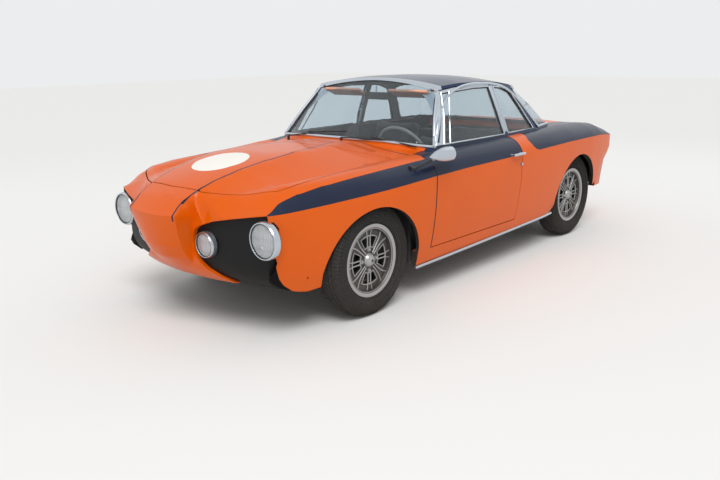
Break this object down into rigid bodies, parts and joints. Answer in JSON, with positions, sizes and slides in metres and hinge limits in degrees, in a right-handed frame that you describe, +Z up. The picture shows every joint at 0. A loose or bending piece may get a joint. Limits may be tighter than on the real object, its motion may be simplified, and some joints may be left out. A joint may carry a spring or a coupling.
{
  "type": "two-door sports coupe",
  "caption": "Low orange two-door coupe of the 1960s with a dark roof, round lamps in black pockets and no bumpers; doors, bonnet, boot lid, steering and wheels move.",
  "frame": {"origin": "on the ground under the middle of the car", "axes": "+X the car's left, +Y rearward, +Z up; the nose points along -Y"},
  "size_m": [1.726, 4.14, 1.2799],
  "materials": {
    "orange_paint": "gloss orange paint",
    "dark_paint": "satin dark blue-black paint",
    "black_paint": "matt black paint",
    "window_glass": "clear",
    "tyre_rubber": "matt",
    "wheel_alloy": "dark grey with polished ribs",
    "chrome_trim": "polished",
    "red_lens": "clear red",
    "sill_paint": "gloss orange paint",
    "seat_vinyl": "black vinyl",
    "cabin_black": "satin black",
    "cast_alloy": "as cast",
    "underbody": "satin black underseal"
  },
  "bodies": {
    "body": {"dashboard": "cabin_black", "engine": "cast_alloy", "exhaust": "underbody", "front_beam": "underbody", "front_boot": "underbody", "front_lamps": "chrome_trim", "front_seat_left": "seat_vinyl", "front_seat_right": "seat_vinyl", "front_wing_left": "orange_paint", "front_wing_right": "orange_paint", "lamp_pockets": "black_paint", "nose_panel": "orange_paint", "quarter_glass_left": "window_glass", "quarter_glass_right": "window_glass", "rear_axle": "cast_alloy", "rear_deck": "underbody", "rear_quarter_left": "orange_paint", "rear_quarter_right": "orange_paint", "rear_seat": "seat_vinyl", "rear_window": "window_glass", "roof": "dark_paint", "scuttle": "orange_paint", "sills": "sill_paint", "steering_column": "cabin_black", "tail_lamps": "red_lens", "tail_panel": "orange_paint", "tub": "underbody", "windscreen": "window_glass", "wing_mirror": "chrome_trim", "wipers": "chrome_trim"},
    "bonnet": {"bonnet": "orange_paint"},
    "boot_lid": {"boot_lid": "orange_paint"},
    "steering_wheel": {"steering_wheel": "cabin_black"},
    "door_left": {"door_left": "orange_paint", "door_glass_left": "window_glass", "door_handle_left": "chrome_trim"},
    "knuckle_left": {"knuckle_left": "underbody"},
    "front_wheel_left": {"wheel_front_left": "wheel_alloy", "tyre_front_left": "tyre_rubber"},
    "rear_wheel_left": {"wheel_rear_left": "wheel_alloy", "tyre_rear_left": "tyre_rubber"},
    "door_right": {"door_right": "orange_paint", "door_glass_right": "window_glass", "door_handle_right": "chrome_trim"},
    "knuckle_right": {"knuckle_right": "underbody"},
    "front_wheel_right": {"wheel_front_right": "wheel_alloy", "tyre_front_right": "tyre_rubber"},
    "rear_wheel_right": {"wheel_rear_right": "wheel_alloy", "tyre_rear_right": "tyre_rubber"}
  },
  "joints": [
    {"name": "door_left_hinge", "type": "hinge", "parent": "body", "child": "door_left", "pos_m": [0.803, -0.64, 0.5], "axis": [0, 0, -1], "range_deg": [0, 60]},
    {"name": "door_right_hinge", "type": "hinge", "parent": "body", "child": "door_right", "pos_m": [-0.803, -0.64, 0.5], "axis": [0, 0, 1], "range_deg": [0, 60]},
    {"name": "bonnet_hinge", "type": "hinge", "parent": "body", "child": "bonnet", "pos_m": [0, -0.745, 0.93], "axis": [-1, 0, 0], "range_deg": [0, 50]},
    {"name": "boot_lid_hinge", "type": "hinge", "parent": "body", "child": "boot_lid", "pos_m": [0, 1.19, 0.92], "axis": [1, 0, 0], "range_deg": [0, 50]},
    {"name": "steer_left", "type": "hinge", "parent": "body", "child": "knuckle_left", "pos_m": [0.555, -1.14, 0.32], "axis": [0, 0, 1], "range_deg": [-30, 30]},
    {"name": "steer_right", "type": "hinge", "parent": "body", "child": "knuckle_right", "pos_m": [-0.555, -1.14, 0.32], "axis": [0, 0, 1], "range_deg": [-30, 30]},
    {"name": "steering_turn", "type": "hinge", "parent": "body", "child": "steering_wheel", "pos_m": [0.3, -0.335, 0.79], "axis": [0, 0.9063, 0.4226], "range_deg": [-430, 430]},
    {"name": "front_spin_left", "type": "hinge", "parent": "knuckle_left", "child": "front_wheel_left", "pos_m": [0.6525, -1.14, 0.32], "axis": [1, 0, 0], "continuous": true},
    {"name": "rear_spin_left", "type": "hinge", "parent": "body", "child": "rear_wheel_left", "pos_m": [0.644, 1.26, 0.32], "axis": [1, 0, 0], "continuous": true},
    {"name": "front_spin_right", "type": "hinge", "parent": "knuckle_right", "child": "front_wheel_right", "pos_m": [-0.6525, -1.14, 0.32], "axis": [1, 0, 0], "continuous": true},
    {"name": "rear_spin_right", "type": "hinge", "parent": "body", "child": "rear_wheel_right", "pos_m": [-0.644, 1.26, 0.32], "axis": [1, 0, 0], "continuous": true}
  ],
  "couplings": [
    {"joint": "steer_right", "follows": "steer_left", "ratio": 1},
    {"joint": "steering_turn", "follows": "steer_left", "ratio": 14}
  ]
}
